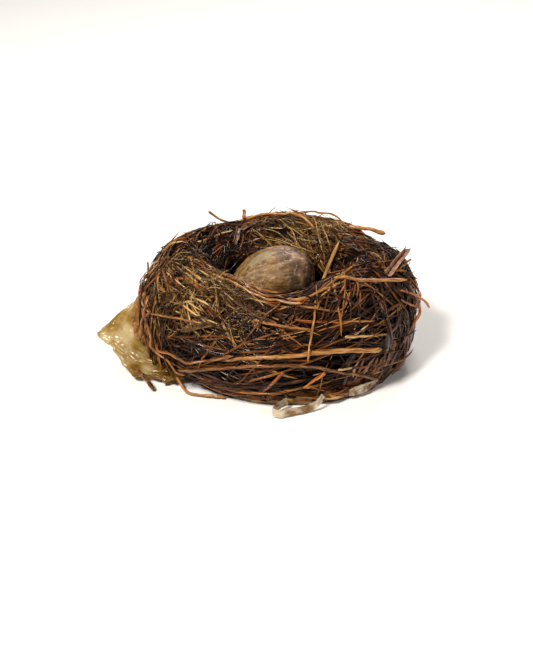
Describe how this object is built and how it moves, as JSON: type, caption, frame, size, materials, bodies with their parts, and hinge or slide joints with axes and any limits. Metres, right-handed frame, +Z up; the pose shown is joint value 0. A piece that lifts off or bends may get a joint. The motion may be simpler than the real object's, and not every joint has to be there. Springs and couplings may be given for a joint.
{
  "type": "bird nest with a nut in its cup",
  "caption": "Cup-shaped bird nest woven of dark rootlets and dry stems on a leaf pad, with scraps of plastic film and a nut lying in its cup.",
  "frame": {"origin": "on the surface the nest rests on, under the middle of its cup", "axes": "+Z up; +X to the right seen from the side where the rim dips; -Y towards that side"},
  "size_m": [0.1802, 0.1432, 0.0681],
  "materials": {
    "leaf_mould": "pressed damp leaf mould, matt",
    "rootlets": "dark wound rootlets with a slight shine",
    "lining_roots": "fine dark roots, moist shine",
    "nut_shell": "weathered nut skin, satin",
    "moss": "dry olive moss and hair roots, matt",
    "dry_grass": "golden dry grass",
    "plastic_film": "thin crumpled plastic film, glossy and partly clear",
    "dry_leaf": "dry leaf, matt with veins",
    "bark": "thin bark strip, fibrous",
    "dark_stem": "dark woody stem, slight shine",
    "tan_stem": "tan woody stem, slight shine",
    "red_stem": "red-brown woody stem, shiny",
    "straw": "dry straw, satin"
  },
  "bodies": {
    "root": {"back_stem_high": "dark_stem", "back_stem_low": "tan_stem", "bark_inside_back": "bark", "bark_inside_left": "bark", "bark_right": "bark", "film_band": "plastic_film", "film_front": "plastic_film", "film_left": "plastic_film", "film_right": "plastic_film", "film_wrap": "plastic_film", "front_stem_left": "dark_stem", "front_stem_long": "tan_stem", "front_stem_low": "dark_stem", "grass_tuft": "dry_grass", "leaf_back": "dry_leaf", "leaf_back_low": "dry_leaf", "leaf_base": "leaf_mould", "leaf_gold": "dry_leaf", "leaf_left": "dry_leaf", "leaf_low": "dry_leaf", "leaf_right": "dry_leaf", "moss_pad": "moss", "nut": "nut_shell", "red_stem_left": "red_stem", "red_stem_right": "red_stem", "rim_root_left_a": "tan_stem", "rim_root_left_b": "dark_stem", "rim_root_left_c": "tan_stem", "rim_root_right": "tan_stem", "rim_stem_back": "tan_stem", "rim_stem_back_left": "tan_stem", "rim_stem_back_right": "red_stem", "root_kinked": "dark_stem", "root_left_a": "tan_stem", "root_left_b": "dark_stem", "root_left_c": "dark_stem", "root_left_d": "dark_stem", "root_lining": "lining_roots", "root_loop_back": "dark_stem", "root_loop_ground": "dark_stem", "root_upright_front": "tan_stem", "side_stem_left": "dark_stem", "side_stem_right": "red_stem", "stem_diagonal": "dark_stem", "stem_mid_left": "dark_stem", "stem_mid_right": "red_stem", "straw_flat_right": "straw", "straw_low_right": "tan_stem", "straw_right": "straw", "stub_back_right": "tan_stem", "stub_low_left": "dark_stem", "stub_top": "red_stem", "twig_back_left": "dark_stem", "twig_in_cup": "straw", "twig_over_right": "tan_stem", "twig_right_long": "red_stem", "twig_right_short": "dark_stem", "twig_right_up": "dark_stem", "woven_wall": "rootlets"}
  },
  "joints": []
}
